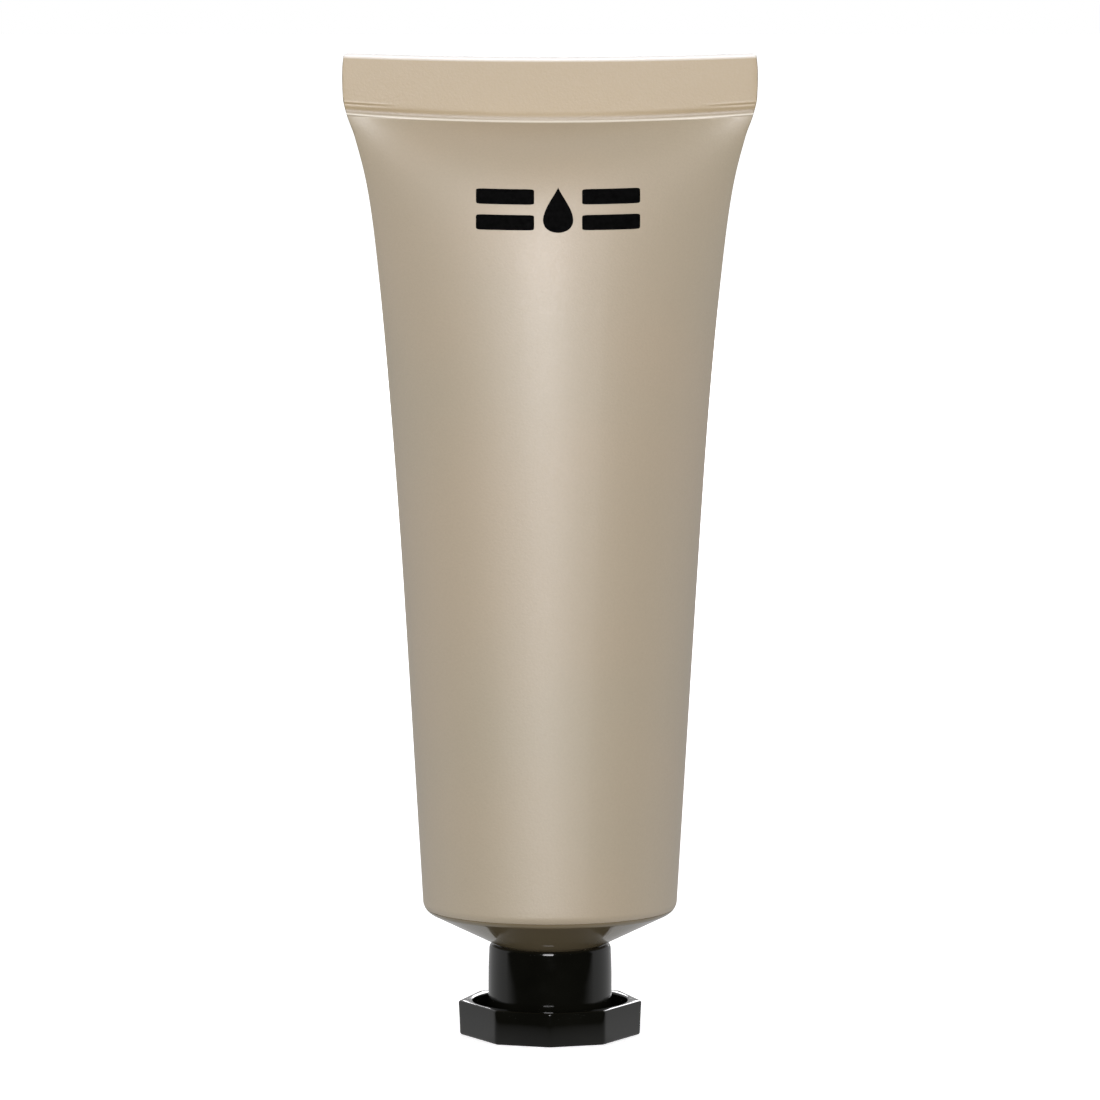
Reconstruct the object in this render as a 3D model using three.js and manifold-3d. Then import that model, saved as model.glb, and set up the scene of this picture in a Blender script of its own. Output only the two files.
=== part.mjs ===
import * as THREE from 'three';
import { mergeVertices } from 'three/addons/utils/BufferGeometryUtils.js';
import { ParametricGeometry } from 'three/addons/geometries/ParametricGeometry.js';
import Module from 'manifold-3d';

const wasm = await Module();
wasm.setup();

// Millimetres. Z runs up the tube, the front faces -Y, the origin is under the middle of the cap.

// ---- sleeve: a round laminate pipe, welded flat at its top end ----
const TUBE_DIAMETER = 35;
const WALL = 0.45;
const WELD_LINE_ABOVE_EDGE = 107.2;
const WELD_BAND_HEIGHT = 8.83;
const WELD_CORNER_RISE = 1.0;
const TOP_CORNER_RISE = 0.5;
const WELD_SPREAD = 1.0;
const WELD_SPREAD_START = 3;
const WELD_SPREAD_LENGTH = 5.5;
const GROOVE_DEPTH = 0.12;
const GROOVE_WIDTH = 0.7;
const SLEEVE_LAP_ANGLE = 32;

// ---- shoulder and neck: one moulding on the end of the sleeve ----
const EDGE_RADIUS = 2.0;
const SHOULDER_SLOPE = 26;
const SHOULDER_THICKNESS = 1.2;
const SKIRT_HEIGHT = 1.0;
const SKIRT_THICKNESS = 0.8;
const NECK_RADIUS = 5.7;
const NECK_LEAD = 0.3;
const NECK_WALL = 1.6;
const LIP_WIDTH = 1.1;
const LIP_THICKNESS = 1.2;

// ---- thread shared by neck and cap ----
const THREAD_PITCH = 3.0;
const THREAD_DEPTH = 0.8;
const THREAD_ROOT_WIDTH = 1.5;
const THREAD_CREST_WIDTH = 0.7;
const THREAD_CLEARANCE = 0.25;
const THREAD_BITE = 0.3;

// ---- screw cap: round stem inside a low eight-sided ring ----
const STEM_HEIGHT = 12.55;
const STEM_WALL = 1.75;
const STEM_TOP_DRAFT = 0.12;
const STEM_EDGE_RADIUS = 0.6;
const STEM_TO_SHOULDER_GAP = 0.55;
const LEAD_IN_HEIGHT = 0.95;
const LEAD_IN_WIDTH = 0.85;
const RING_HEIGHT = 4.75;
const RING_WIDTH = 2.0;
const RING_DRAFT = 0.2;
const RING_TOP_EDGE = 0.2;
const RING_BOTTOM_EDGE = 0.3;
const RING_CORNER_ANGLES = [0, 36.3, 86, 130, 180, 230, 274, 323.7];
const POCKET_WIDTH = 2.2;
const END_RECESS = 0.35;
const END_RIM = 1.1;
const END_WALL = 1.55;
const GATE_RADIUS = 1.1;
const GATE_DEPTH = 0.25;

// ---- what lies inside the cap and the shoulder ----
const LINER_THICKNESS = 0.9;
const FOIL_THICKNESS = 0.12;
const FOIL_FOLD_GAP = 0.06;
const TAB_WIDTH_SHARE = 0.46;
const TAB_LENGTH_SHARE = 0.65;
const INSERT_THICKNESS = 0.35;
const INSERT_COLLAR = 2.0;
const CREAM_TOP = 0.93;

// ---- clearances ----
const SEAT_GAP = 0.06;
const SKIRT_GAP = 0.15;
const LAP_GAP = 2;
const CREAM_GAP = 0.15;
const CREAM_SHRINK = 0.97;
const LINER_GAP = 0.15;

// ---- smoothness ----
const TUBE_SEGMENTS = 48;
const CAP_SEGMENTS = 48;
const THREAD_STEPS_PER_TURN = 28;
const SLEEVE_STATIONS = 12;
const EDGE_CROWDING = 0.38;
const GIRTH_SAMPLES = 24;

// ---- sizes that follow from the ones above ----
const RADIANS = Math.PI / 180;
const TUBE_RADIUS = TUBE_DIAMETER / 2;
const INNER_RADIUS = TUBE_RADIUS - WALL;
const SLOPE = Math.tan(SHOULDER_SLOPE * RADIANS);
const SLOPE_COS = Math.cos(SHOULDER_SLOPE * RADIANS);
const THREAD_MAJOR = NECK_RADIUS + THREAD_DEPTH;
const CAP_BORE_RADIUS = THREAD_MAJOR + THREAD_CLEARANCE;
const BORE_RADIUS = NECK_RADIUS - NECK_WALL;
const MOUTH_RADIUS = BORE_RADIUS - LIP_WIDTH;
const STEM_RADIUS = CAP_BORE_RADIUS + STEM_WALL;
const POCKET_RADIUS = STEM_RADIUS + POCKET_WIDTH;
const RING_CORNER_RADIUS = POCKET_RADIUS + RING_WIDTH;
const END_RECESS_RADIUS = POCKET_RADIUS - END_RIM;
const EDGE_CENTRE_RADIUS = TUBE_RADIUS - EDGE_RADIUS;
const EDGE_CENTRE_HEIGHT = coneHeight(EDGE_CENTRE_RADIUS) + EDGE_RADIUS / SLOPE_COS;
const WELD_HEIGHT = EDGE_CENTRE_HEIGHT + WELD_LINE_ABOVE_EDGE;
const FLAT_HALF_WIDTH = INNER_RADIUS * Math.PI / 2 + WALL;
const CAP_FLOOR = END_RECESS + END_WALL;
const LINER_BOTTOM = CAP_FLOOR + SEAT_GAP;
const LINER_TOP = LINER_BOTTOM + LINER_THICKNESS;
const FOIL_BOTTOM = LINER_TOP + SEAT_GAP;
const FOIL_STACK = 2 * FOIL_THICKNESS + FOIL_FOLD_GAP;
const NECK_END = FOIL_BOTTOM + FOIL_STACK + SEAT_GAP;
const INNER_CONE_RISE = SHOULDER_THICKNESS / SLOPE_COS;
const NECK_THREAD_START = NECK_END + NECK_LEAD + THREAD_ROOT_WIDTH / 2;
const CAP_THREAD_START = NECK_THREAD_START + THREAD_PITCH / 2;
const CAP_THREAD_END = STEM_HEIGHT - LEAD_IN_HEIGHT - THREAD_ROOT_WIDTH / 2;
const THREAD_TURNS = (CAP_THREAD_END - CAP_THREAD_START) / THREAD_PITCH;

// Height of the outside of the shoulder cone at a distance from the axis.
function coneHeight(radius) {
  const stemTop = STEM_HEIGHT + STEM_TO_SHOULDER_GAP;
  return stemTop + (radius - STEM_RADIUS) * SLOPE;
}

// Point on the rounded bottom edge, at an angle below the horizontal.
function edgePoint(radius, angle) {
  const a = angle * RADIANS;
  const r = EDGE_CENTRE_RADIUS + radius * Math.cos(a);
  const z = EDGE_CENTRE_HEIGHT - radius * Math.sin(a);
  return [r, z];
}

// Closed body of revolution about Z from pairs of radius and height.
function turned(profile, segments) {
  const points = profile.map(([r, z]) => new THREE.Vector2(r, z));
  const geometry = new THREE.LatheGeometry(points, segments);
  geometry.rotateX(Math.PI / 2);
  return geometry;
}

function closedLoop(profile) {
  return [...profile, profile[0]];
}

// Drops triangles that have lost their area where vertices meet at a pole or a weld.
function welded(geometry) {
  const bare = geometry.clone();
  bare.deleteAttribute('normal');
  bare.deleteAttribute('uv');
  const merged = mergeVertices(bare, 1e-4);
  const index = merged.getIndex().array;
  const kept = [];
  for (let i = 0; i < index.length; i += 3) {
    const [a, b, c] = [index[i], index[i + 1], index[i + 2]];
    if (a !== b && b !== c && c !== a) {
      kept.push(a, b, c);
    }
  }
  merged.setIndex(kept);
  return merged;
}

// Turns the triangles round when the body encloses a negative volume.
function facingOut(geometry) {
  const index = geometry.getIndex().array;
  const p = geometry.getAttribute('position');
  const [a, b, c] = [new THREE.Vector3(), new THREE.Vector3(), new THREE.Vector3()];
  let volume = 0;
  for (let i = 0; i < index.length; i += 3) {
    a.fromBufferAttribute(p, index[i]);
    b.fromBufferAttribute(p, index[i + 1]);
    c.fromBufferAttribute(p, index[i + 2]);
    volume += a.dot(b.cross(c));
  }
  if (volume > 0) {
    return geometry;
  }
  const flipped = [];
  for (let i = 0; i < index.length; i += 3) {
    flipped.push(index[i], index[i + 2], index[i + 1]);
  }
  geometry.setIndex(flipped);
  return geometry;
}

function toManifold(geometry) {
  const body = facingOut(welded(geometry));
  const vertProperties = Float32Array.from(body.getAttribute('position').array);
  const triVerts = Uint32Array.from(body.getIndex().array);
  return new wasm.Manifold(new wasm.Mesh({ numProp: 3, vertProperties, triVerts }));
}

function fromManifold(solid) {
  const mesh = solid.getMesh();
  const geometry = new THREE.BufferGeometry();
  geometry.setAttribute('position', new THREE.BufferAttribute(mesh.vertProperties, 3));
  geometry.setIndex(new THREE.BufferAttribute(mesh.triVerts, 1));
  return geometry;
}

// ---- the shape of a round pipe pressed flat, its girth unchanged ----

// How flat the sleeve is, 0 round and 1 closed, at a height.
function flatness(z) {
  const t = THREE.MathUtils.clamp((z - EDGE_CENTRE_HEIGHT) / WELD_LINE_ABOVE_EDGE, 0, 1);
  return 0.4 * t + 0.2 * t ** 5 + 0.4 * t ** 28;
}

// Factor that keeps the girth of a part-flattened section equal to the round one.
function girthFactor(flat) {
  let sum = 0;
  for (let i = 0; i < GIRTH_SAMPLES; i += 1) {
    const angle = (i + 0.5) / GIRTH_SAMPLES * Math.PI / 2;
    const round = 1 - flat;
    sum += Math.sqrt(round ** 2 + flat ** 2 + 2 * round * flat * Math.cos(angle));
  }
  return GIRTH_SAMPLES / sum;
}

// How much wider the hot jaws have pressed the weld, as a factor on X.
function weldStretch(z) {
  const start = WELD_HEIGHT - WELD_SPREAD_START;
  const rise = THREE.MathUtils.smoothstep(z, start, start + WELD_SPREAD_LENGTH);
  return 1 + rise * WELD_SPREAD / FLAT_HALF_WIDTH;
}

// Moves one point of a round pipe to its place on the flattened sleeve. The middle of the
// front is turn 0. Points off the inner face keep their distance from it, or their share.
// The flatter the sleeve, the closer the points stand to its two side edges.
function flattenPoint(roundTurn, radius, z, byShare) {
  const flat = flatness(z);
  const turn = roundTurn + EDGE_CROWDING * flat * Math.sin(2 * roundTurn);
  const size = INNER_RADIUS * girthFactor(flat);
  const side = Math.asin(THREE.MathUtils.clamp(Math.sin(turn), -1, 1));
  const halfWidth = size * (1 - flat + flat * Math.PI / 2);
  const acrossInner = size * ((1 - flat) * Math.sin(side) + flat * side);
  const depthInner = size * (1 - flat) * Math.cos(turn);
  let across = acrossInner * radius / INNER_RADIUS;
  let depth = depthInner * radius / INNER_RADIUS;
  if (!byShare) {
    const offset = radius - INNER_RADIUS;
    const share = Math.min(1, Math.abs(acrossInner) / halfWidth);
    const squareness = 2 + 10 * flat ** 4;
    const facing = Math.cos(turn) < 0 ? -1 : 1;
    const rim = Math.abs(Math.cos(turn)) < 1e-6 ? 0 : (1 - share ** squareness) ** (1 / squareness);
    across = acrossInner * (halfWidth + offset) / halfWidth;
    depth = depthInner + facing * offset * rim;
  }
  const x = across * weldStretch(z);
  const t = THREE.MathUtils.clamp((z - EDGE_CENTRE_HEIGHT) / WELD_LINE_ABOVE_EDGE, 0, 1);
  const bandShare = Math.max(0, (z - WELD_HEIGHT) / WELD_BAND_HEIGHT);
  const cornerRise = WELD_CORNER_RISE + (TOP_CORNER_RISE - WELD_CORNER_RISE) * bandShare;
  const rise = cornerRise * t ** 6 * (x / FLAT_HALF_WIDTH) ** 2;
  return [x, -depth, z + rise];
}

function flattened(geometry, byShare) {
  const p = geometry.getAttribute('position');
  for (let i = 0; i < p.count; i += 1) {
    const radius = Math.hypot(p.getX(i), p.getY(i));
    const turn = Math.atan2(p.getX(i), -p.getY(i));
    p.setXYZ(i, ...flattenPoint(turn, radius, p.getZ(i), byShare));
  }
  return geometry;
}

// Heights from the round end to the weld line, closer together towards the weld.
function sleeveHeights(count, top) {
  const heights = [];
  for (let i = 0; i <= count; i += 1) {
    const t = 1 - (1 - i / count) ** 2;
    heights.push(EDGE_CENTRE_HEIGHT + t * top * WELD_LINE_ABOVE_EDGE);
  }
  return heights;
}

// ---- the pieces ----

function laminateSleeve() {
  const heights = sleeveHeights(SLEEVE_STATIONS, 1);
  const inside = heights.map((z) => [INNER_RADIUS, z]).reverse();
  const outside = heights.map((z) => [TUBE_RADIUS, z]);
  const lapAngles = [SLEEVE_LAP_ANGLE / 2, SLEEVE_LAP_ANGLE];
  const lapInside = lapAngles.map((a) => edgePoint(EDGE_RADIUS - WALL, a));
  const lapOutside = lapAngles.map((a) => edgePoint(EDGE_RADIUS, a)).reverse();
  const bandTop = WELD_HEIGHT + WELD_BAND_HEIGHT;
  const groove = [
    [TUBE_RADIUS - GROOVE_DEPTH, WELD_HEIGHT + GROOVE_WIDTH / 2],
    [TUBE_RADIUS, WELD_HEIGHT + GROOVE_WIDTH],
  ];
  const band = [
    [TUBE_RADIUS, bandTop],
    [INNER_RADIUS, bandTop],
  ];
  const profile = [...inside, ...lapInside, ...lapOutside, ...outside, ...groove, ...band];
  return flattened(turned(profile, TUBE_SEGMENTS), false);
}

// The creamy filling, clear of everything that holds it.
function creamFill() {
  const inner = INNER_RADIUS - SKIRT_GAP - SKIRT_THICKNESS - CREAM_GAP;
  const mouthTop = NECK_END + LIP_THICKNESS + CREAM_GAP;
  const throat = BORE_RADIUS - SEAT_GAP - INSERT_THICKNESS - CREAM_GAP;
  const collarEnd = coneHeight(BORE_RADIUS) + INNER_CONE_RISE - INSERT_COLLAR - CREAM_GAP;
  const coneTop = INNER_CONE_RISE + SEAT_GAP + INSERT_THICKNESS / SLOPE_COS + CREAM_GAP;
  const skirtTop = EDGE_CENTRE_HEIGHT + SKIRT_HEIGHT + CREAM_GAP;
  const neckPart = [
    [0, NECK_END + CREAM_GAP],
    [MOUTH_RADIUS - CREAM_GAP, NECK_END + CREAM_GAP],
    [MOUTH_RADIUS - CREAM_GAP, mouthTop],
    [BORE_RADIUS - CREAM_GAP, mouthTop],
    [BORE_RADIUS - CREAM_GAP, collarEnd],
    [throat, collarEnd],
    [throat, coneHeight(throat) + coneTop + CREAM_GAP],
    [inner, coneHeight(inner) + coneTop],
    [inner, skirtTop],
  ];
  const side = sleeveHeights(SLEEVE_STATIONS, CREAM_TOP)
    .filter((z) => z > skirtTop + 1)
    .map((z) => [INNER_RADIUS * CREAM_SHRINK, z]);
  const [, sideTop] = side[side.length - 1];
  const first = [INNER_RADIUS * CREAM_SHRINK, skirtTop + 0.5];
  const dome = [[INNER_RADIUS * 0.7, sideTop + 0.5], [0, sideTop + 0.8]];
  const profile = [...neckPart, first, ...side, ...dome];
  return flattened(turned(profile, TUBE_SEGMENTS), true);
}

// Ridge of the thread, swept up a right-hand helix, as a closed body ending in two points.
function threadRidge(rootRadius, crestRadius, startHeight) {
  const rootSide = Math.sign(rootRadius - crestRadius);
  const buried = rootRadius + rootSide * THREAD_BITE;
  const corners = [
    [buried, -THREAD_ROOT_WIDTH / 2],
    [rootRadius, -THREAD_ROOT_WIDTH / 2],
    [crestRadius, -THREAD_CREST_WIDTH / 2],
    [crestRadius, THREAD_CREST_WIDTH / 2],
    [rootRadius, THREAD_ROOT_WIDTH / 2],
    [buried, THREAD_ROOT_WIDTH / 2],
  ];
  const middle = (rootRadius + buried) / 2;
  const steps = Math.round(THREAD_TURNS * THREAD_STEPS_PER_TURN);
  const surface = (u, v, target) => {
    const [radius, rise] = corners[Math.round(u * corners.length) % corners.length];
    const size = Math.min(1, v * steps, (1 - v) * steps);
    const angle = v * THREAD_TURNS * 2 * Math.PI;
    const r = middle + (radius - middle) * size;
    const z = startHeight + rise * size + v * THREAD_TURNS * THREAD_PITCH;
    target.set(r * Math.cos(angle), r * Math.sin(angle), z);
  };
  return new ParametricGeometry(surface, corners.length, steps);
}

function shoulderHead() {
  const tangent = 90 - SHOULDER_SLOPE;
  const lap = SLEEVE_LAP_ANGLE + LAP_GAP;
  const edge = [tangent, (tangent + lap) / 2, lap].map((a) => edgePoint(EDGE_RADIUS, a));
  const seat = [lap, SLEEVE_LAP_ANGLE / 2, 0]
    .map((a) => edgePoint(EDGE_RADIUS - WALL - SKIRT_GAP, a));
  const skirtTop = EDGE_CENTRE_HEIGHT + SKIRT_HEIGHT;
  const skirtOuter = INNER_RADIUS - SKIRT_GAP;
  const skirtInner = skirtOuter - SKIRT_THICKNESS;
  const outside = [
    [MOUTH_RADIUS, NECK_END],
    [NECK_RADIUS - NECK_LEAD, NECK_END],
    [NECK_RADIUS, NECK_END + NECK_LEAD],
    [NECK_RADIUS, coneHeight(NECK_RADIUS)],
  ];
  const inside = [
    [skirtOuter, skirtTop],
    [skirtInner, skirtTop],
    [skirtInner, coneHeight(skirtInner) + INNER_CONE_RISE],
    [BORE_RADIUS, coneHeight(BORE_RADIUS) + INNER_CONE_RISE],
    [BORE_RADIUS, NECK_END + LIP_THICKNESS],
    [MOUTH_RADIUS, NECK_END + LIP_THICKNESS],
  ];
  const shell = turned(closedLoop([...outside, ...edge, ...seat, ...inside]), TUBE_SEGMENTS);
  const ridge = threadRidge(NECK_RADIUS, THREAD_MAJOR, NECK_THREAD_START);
  return fromManifold(toManifold(shell).add(toManifold(ridge)));
}

// Thin cone that keeps the filling off the shoulder, with a collar down the bore.
function barrierInsert() {
  const rise = INNER_CONE_RISE + SEAT_GAP;
  const top = rise + INSERT_THICKNESS / SLOPE_COS;
  const outer = INNER_RADIUS - SKIRT_GAP - SKIRT_THICKNESS - SEAT_GAP;
  const collarOuter = BORE_RADIUS - SEAT_GAP;
  const collarInner = collarOuter - INSERT_THICKNESS;
  const collarEnd = coneHeight(BORE_RADIUS) + INNER_CONE_RISE - INSERT_COLLAR;
  const profile = [
    [collarInner, collarEnd],
    [collarOuter, collarEnd],
    [collarOuter, coneHeight(collarOuter) + rise],
    [outer, coneHeight(outer) + rise],
    [outer, coneHeight(outer) + top],
    [collarInner, coneHeight(collarInner) + top],
  ];
  return turned(closedLoop(profile), TUBE_SEGMENTS);
}

// Foil over the mouth of the neck, with its pull tab folded back under it.
function peelSeal() {
  const radius = NECK_RADIUS - NECK_LEAD;
  const disc = new THREE.CylinderGeometry(radius, radius, FOIL_THICKNESS, 40);
  disc.rotateX(Math.PI / 2);
  disc.translate(0, 0, NECK_END - SEAT_GAP - FOIL_THICKNESS / 2);
  const halfTab = radius * TAB_WIDTH_SHARE;
  const fold = -Math.sqrt(radius ** 2 - halfTab ** 2) + SEAT_GAP;
  const straight = 2 * radius * TAB_LENGTH_SHARE - halfTab;
  const outline = new THREE.Shape();
  outline.moveTo(-halfTab, fold);
  outline.lineTo(halfTab, fold);
  outline.lineTo(halfTab, fold + straight);
  outline.absarc(0, fold + straight, halfTab, 0, Math.PI, false);
  const tab = new THREE.ExtrudeGeometry(outline, {
    depth: FOIL_THICKNESS,
    bevelEnabled: false,
    curveSegments: 12,
  });
  tab.translate(0, 0, FOIL_BOTTOM);
  const bridge = new THREE.BoxGeometry(2 * halfTab, FOIL_STACK / 2, FOIL_STACK);
  bridge.translate(0, fold + FOIL_STACK / 4, FOIL_BOTTOM + FOIL_STACK / 2);
  const sheet = toManifold(disc).add(toManifold(tab)).add(toManifold(bridge));
  return fromManifold(sheet);
}

function capLiner() {
  const radius = CAP_BORE_RADIUS - LINER_GAP;
  const liner = new THREE.CylinderGeometry(radius, radius, LINER_THICKNESS, CAP_SEGMENTS);
  liner.rotateX(Math.PI / 2);
  liner.translate(0, 0, LINER_BOTTOM + LINER_THICKNESS / 2);
  return liner;
}

// One level of the eight-sided ring: its corners at a height, set in from the full size.
function ringOutline(inset) {
  return RING_CORNER_ANGLES.map((angle) => {
    const a = angle * RADIANS;
    const r = RING_CORNER_RADIUS - inset;
    return [r * Math.sin(a), -r * Math.cos(a)];
  });
}

// Solid eight-sided block with a small bevel round its top and bottom edges.
function ringBlock() {
  const levels = [
    [0, RING_DRAFT + RING_BOTTOM_EDGE],
    [RING_BOTTOM_EDGE, RING_DRAFT],
    [RING_HEIGHT - RING_TOP_EDGE, 0],
    [RING_HEIGHT, RING_TOP_EDGE],
  ];
  const sides = RING_CORNER_ANGLES.length;
  const rows = [null, ...levels, null];
  const surface = (u, v, target) => {
    const row = Math.round(v * (rows.length - 1));
    const corner = Math.round(u * sides) % sides;
    const isCap = rows[row] === null;
    const [z, inset] = isCap ? [row === 0 ? 0 : RING_HEIGHT, 0] : rows[row];
    const [x, y] = isCap ? [0, 0] : ringOutline(inset)[corner];
    target.set(x, y, z);
  };
  return new ParametricGeometry(surface, sides, rows.length - 1);
}

function screwCap() {
  const stemTop = STEM_RADIUS - STEM_TOP_DRAFT;
  const e = STEM_EDGE_RADIUS;
  const roundings = [0, 30, 60, 90].map((angle) => {
    const a = angle * RADIANS;
    return [stemTop - e + e * Math.cos(a), STEM_HEIGHT - e + e * Math.sin(a)];
  });
  const stem = turned([[0, END_WALL / 2], [STEM_RADIUS, END_WALL / 2], ...roundings,
    [0, STEM_HEIGHT]], CAP_SEGMENTS);
  const above = STEM_HEIGHT + 1;
  const pocket = turned([[0, CAP_FLOOR], [POCKET_RADIUS, CAP_FLOOR], [POCKET_RADIUS, above],
    [0, above]], CAP_SEGMENTS);
  const leadIn = STEM_HEIGHT - LEAD_IN_HEIGHT;
  const slopeOver = CAP_BORE_RADIUS + LEAD_IN_WIDTH * (above - leadIn) / LEAD_IN_HEIGHT;
  const bore = turned([[0, CAP_FLOOR], [CAP_BORE_RADIUS, CAP_FLOOR], [CAP_BORE_RADIUS, leadIn],
    [slopeOver, above], [0, above]], CAP_SEGMENTS);
  const recess = turned([[0, -1], [END_RECESS_RADIUS, -1], [END_RECESS_RADIUS, END_RECESS],
    [GATE_RADIUS, END_RECESS], [0, END_RECESS + GATE_DEPTH]], CAP_SEGMENTS);
  const crest = NECK_RADIUS + THREAD_CLEARANCE;
  const ridge = threadRidge(CAP_BORE_RADIUS, crest, CAP_THREAD_START);
  const solid = toManifold(ringBlock())
    .subtract(toManifold(pocket))
    .add(toManifold(stem))
    .subtract(toManifold(bore))
    .subtract(toManifold(recess))
    .add(toManifold(ridge));
  return fromManifold(solid);
}

function piece(name, geometry, colour, roughness, metalness) {
  const material = new THREE.MeshStandardMaterial({ color: colour, roughness, metalness });
  material.name = name;
  const mesh = new THREE.Mesh(facingOut(welded(geometry)), material);
  mesh.name = name;
  return mesh;
}

const tube = new THREE.Group();
tube.name = 'shaving_cream_tube';
tube.add(piece('laminate_sleeve', laminateSleeve(), 0xc6bba6, 0.42, 0));
tube.add(piece('shoulder_head', shoulderHead(), 0xc2b7a2, 0.2, 0));
tube.add(piece('barrier_insert', barrierInsert(), 0xf0efe8, 0.5, 0));
tube.add(piece('peel_seal', peelSeal(), 0xc8cacc, 0.3, 1));
tube.add(piece('cream_fill', creamFill(), 0xf7f6f0, 0.6, 0));
tube.add(piece('cap_liner', capLiner(), 0xeeeae0, 0.8, 0));
tube.add(piece('screw_cap', screwCap(), 0x0b0a08, 0.12, 0));

export default tube;
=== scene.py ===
# %% [markdown]
# # A tube of shaving cream
#
# A laminate tube stands on its screw cap. The sleeve is one sheet, rolled into a pipe and welded flat at
# its far end. A moulded shoulder with a threaded neck closes the round end, and a black cap screws on it.
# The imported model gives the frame: what each piece is called, where it is, and which body it moves with.
# Every surface here is a function of two numbers on a grid, worked out with whole numpy arrays.

# %% Load the frame
import math

import bmesh
import bpy
import numpy as np
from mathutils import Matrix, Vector


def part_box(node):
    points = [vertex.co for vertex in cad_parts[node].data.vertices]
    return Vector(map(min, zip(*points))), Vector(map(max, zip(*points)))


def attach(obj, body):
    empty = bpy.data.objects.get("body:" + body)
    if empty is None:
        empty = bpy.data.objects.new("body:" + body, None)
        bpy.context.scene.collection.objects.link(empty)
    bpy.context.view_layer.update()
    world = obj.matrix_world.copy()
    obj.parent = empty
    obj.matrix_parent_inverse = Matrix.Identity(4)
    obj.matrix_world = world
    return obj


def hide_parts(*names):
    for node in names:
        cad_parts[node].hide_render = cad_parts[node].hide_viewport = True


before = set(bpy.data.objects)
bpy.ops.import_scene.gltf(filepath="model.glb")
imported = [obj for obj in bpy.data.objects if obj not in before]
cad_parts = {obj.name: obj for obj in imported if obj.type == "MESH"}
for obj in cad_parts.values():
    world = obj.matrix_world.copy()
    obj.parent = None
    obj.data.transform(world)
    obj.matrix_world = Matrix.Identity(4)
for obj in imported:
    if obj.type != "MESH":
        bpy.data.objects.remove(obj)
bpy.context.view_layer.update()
MM = 0.001

# %% [markdown]
# ## Sizes taken from the frame
#
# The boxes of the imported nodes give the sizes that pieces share: the round radius of the sleeve, the height
# of the cap, the end of the neck. Everything is worked out in millimetres and only the finished mesh is
# turned into metres, because a tube is thought of in millimetres.

# %% Shared sizes, in millimetres
def box_mm(node):
    """Lowest and highest corner of a node, in millimetres."""
    low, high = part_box(node)
    return np.array(low) / MM, np.array(high) / MM


sleeve_high = box_mm("laminate_sleeve")[1]
cap_high = box_mm("screw_cap")[1]
head_low, head_high = box_mm("shoulder_head")
liner_low, liner_high = box_mm("cap_liner")
foil_low, foil_high = box_mm("peel_seal")

TUBE_RADIUS = sleeve_high[1]
WALL = 0.45
INNER_RADIUS = TUBE_RADIUS - WALL
EDGE_RADIUS = 2.0
SKIRT_HEIGHT = 1.0
EDGE_HEIGHT = head_high[2] - SKIRT_HEIGHT
WELD_RUN = 107.2
WELD_HEIGHT = EDGE_HEIGHT + WELD_RUN
LINE_CORNER_RISE = 1.0
TOP_CORNER_RISE = 0.5
BAND_TOP = sleeve_high[2] - TOP_CORNER_RISE * 1.075
NECK_END = head_low[2]
STEM_TOP = cap_high[2]
print(f"round radius {TUBE_RADIUS:.2f}, weld line {WELD_HEIGHT:.2f}, band top {BAND_TOP:.2f}")
print(f"neck end {NECK_END:.2f}, cap height {STEM_TOP:.2f}")

# %% [markdown]
# ## From grids to meshes
#
# A grid of points becomes a mesh of quads. A grid that closes in one direction joins its last column to its
# first. Where a row has shrunk to a point or a line, its points are merged, so each piece is one closed body.

# %% A mesh from a grid of points
def grid_faces(rows, columns, closed_rows=False):
    """Quads between neighbours (i, j), (i, j+1), (i+1, j+1), (i+1, j). Columns always close on themselves."""
    row_count = rows if closed_rows else rows - 1
    i, j = np.meshgrid(np.arange(row_count), np.arange(columns), indexing="ij")
    below, right = (i + 1) % rows, (j + 1) % columns
    corners = [i * columns + j, i * columns + right, below * columns + right, below * columns + j]
    return np.stack(corners, axis=-1).reshape(-1, 4)


def enclosed_volume(mesh):
    """Sum of the signed volumes between the origin and each triangle: positive when faces look outwards."""
    mesh.calc_loop_triangles()
    points = np.zeros(len(mesh.vertices) * 3)
    mesh.vertices.foreach_get("co", points)
    points = points.reshape(-1, 3)
    triangles = np.zeros(len(mesh.loop_triangles) * 3, dtype=np.int32)
    mesh.loop_triangles.foreach_get("vertices", triangles)
    a, b, c = points[triangles.reshape(-1, 3)].transpose(1, 0, 2)
    return float(np.einsum("ij,ij->i", a, np.cross(b, c)).sum() / 6)


def merge_columns_and_poles(mesh):
    """Joins vertices closer than a tenth of a micrometre, then turns all faces outwards if they look in."""
    work = bmesh.new()
    work.from_mesh(mesh)
    bmesh.ops.remove_doubles(work, verts=work.verts, dist=1e-7)
    bmesh.ops.dissolve_degenerate(work, edges=work.edges, dist=1e-8)
    work.to_mesh(mesh)
    work.free()
    if enclosed_volume(mesh) < 0:
        mesh.flip_normals()


def new_piece(name, points, faces):
    """A smooth-shaded object from an array of points in millimetres and an array of quads."""
    mesh = bpy.data.meshes.new(name)
    mesh.from_pydata((points.reshape(-1, 3) * MM).tolist(), [], faces.tolist())
    merge_columns_and_poles(mesh)
    mesh.polygons.foreach_set("use_smooth", np.ones(len(mesh.polygons), dtype=bool))
    mesh.set_sharp_from_angle(angle=math.radians(40))
    mesh.update()
    piece = bpy.data.objects.new(name, mesh)
    bpy.context.collection.objects.link(piece)
    print(f"{name}: {len(mesh.vertices)} points, volume {enclosed_volume(mesh) * 1e9:.1f} cubic mm")
    return piece


def shell_piece(name, grid, closed_rows=False):
    """A piece from one grid of points, rows by columns by 3."""
    rows, columns = grid.shape[:2]
    return new_piece(name, grid, grid_faces(rows, columns, closed_rows))


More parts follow.
